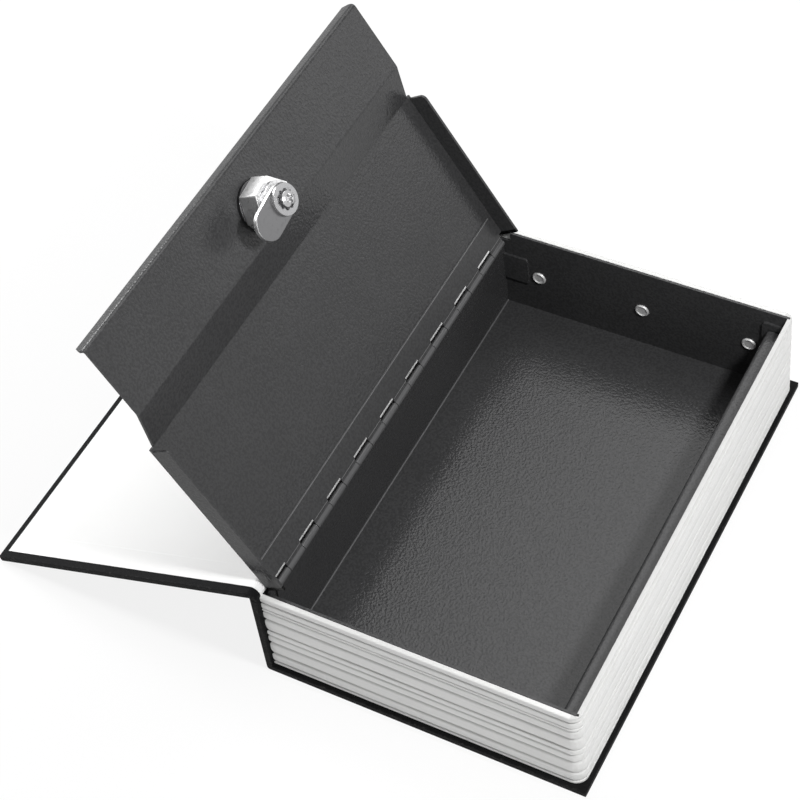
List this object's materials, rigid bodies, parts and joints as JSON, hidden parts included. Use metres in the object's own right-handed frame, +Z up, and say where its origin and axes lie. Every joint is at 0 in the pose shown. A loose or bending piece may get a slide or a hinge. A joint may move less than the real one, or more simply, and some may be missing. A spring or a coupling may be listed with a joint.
{
  "type": "book diversion safe",
  "caption": "Hollow book holding a lockable steel box: hinged cover, moulded page block, piano-hinged stepped lid with a cam lock.",
  "frame": {"origin": "on the table under the back cover, at the inner face of the spine, half way along the book", "axes": "+X from the spine to the fore edge, +Y along the book to its far end, +Z up"},
  "size_m": [0.2961, 0.24, 0.1746],
  "materials": {
    "leatherette": "fine embossed grain, satin",
    "board": "grey binder's board",
    "endpaper": "smooth uncoated",
    "pages": "moulded, matt",
    "box_steel": "orange-peel powder coat, semi-gloss",
    "hinge_steel": "powder coat",
    "pin_steel": "drawn wire",
    "lock_chrome": "bright chrome plate",
    "cam_zinc": "zinc plate",
    "fastener_zinc": "bright zinc plate",
    "rivet_alu": "bright"
  },
  "bodies": {
    "case": {"back_board": "board", "spine_board": "board", "case_wrap": "leatherette", "page_block": "pages", "box_tray": "box_steel", "box_leaf": "hinge_steel", "hinge_pin": "pin_steel", "rivet_near_1": "rivet_alu", "rivet_near_2": "rivet_alu", "rivet_near_3": "rivet_alu", "rivet_far_1": "rivet_alu", "rivet_far_2": "rivet_alu", "rivet_far_3": "rivet_alu"},
    "spine_cloth": {"near_joint": "leatherette"},
    "cover_cloth": {"far_joint": "leatherette"},
    "cover": {"front_board": "board", "front_wrap": "leatherette", "front_endpaper": "endpaper"},
    "lid": {"lid_panel": "box_steel", "lid_leaf": "hinge_steel", "lock_housing": "lock_chrome", "nut_washer": "lock_chrome", "lock_nut": "lock_chrome"},
    "cam": {"lock_plug": "lock_chrome", "lock_cam": "cam_zinc", "cam_washer": "fastener_zinc", "star_washer": "fastener_zinc", "cam_screw": "fastener_zinc"}
  },
  "joints": [
    {"name": "lid_hinge", "type": "hinge", "parent": "case", "child": "lid", "pos_m": [0.003, 0, 0.0506], "axis": [0, 1, 0], "range_deg": [0, 120.9]},
    {"name": "cover_hinge", "type": "hinge", "parent": "case", "child": "cover", "pos_m": [-0.00305, 0, 0.055], "axis": [0, 1, 0], "range_deg": [0, 200.72]},
    {"name": "spine_bend", "type": "hinge", "parent": "case", "child": "spine_cloth", "pos_m": [-0.00305, 0, 0.055], "axis": [0, 1, 0], "range_deg": [0, 100.36]},
    {"name": "cover_bend", "type": "hinge", "parent": "cover", "child": "cover_cloth", "pos_m": [-0.00305, 0, 0.055], "axis": [0, -1, 0], "range_deg": [0, 100.36]},
    {"name": "cam_turn", "type": "hinge", "parent": "lid", "child": "cam", "pos_m": [-0.05145, 0, 0.15638], "axis": [-0.8581, 0, -0.5135], "range_deg": [0, 90]}
  ],
  "couplings": [
    {"joint": "cover_hinge", "follows": "lid_hinge", "ratio": 1.6602},
    {"joint": "spine_bend", "follows": "lid_hinge", "ratio": 0.8301},
    {"joint": "cover_bend", "follows": "lid_hinge", "ratio": 0.8301}
  ]
}
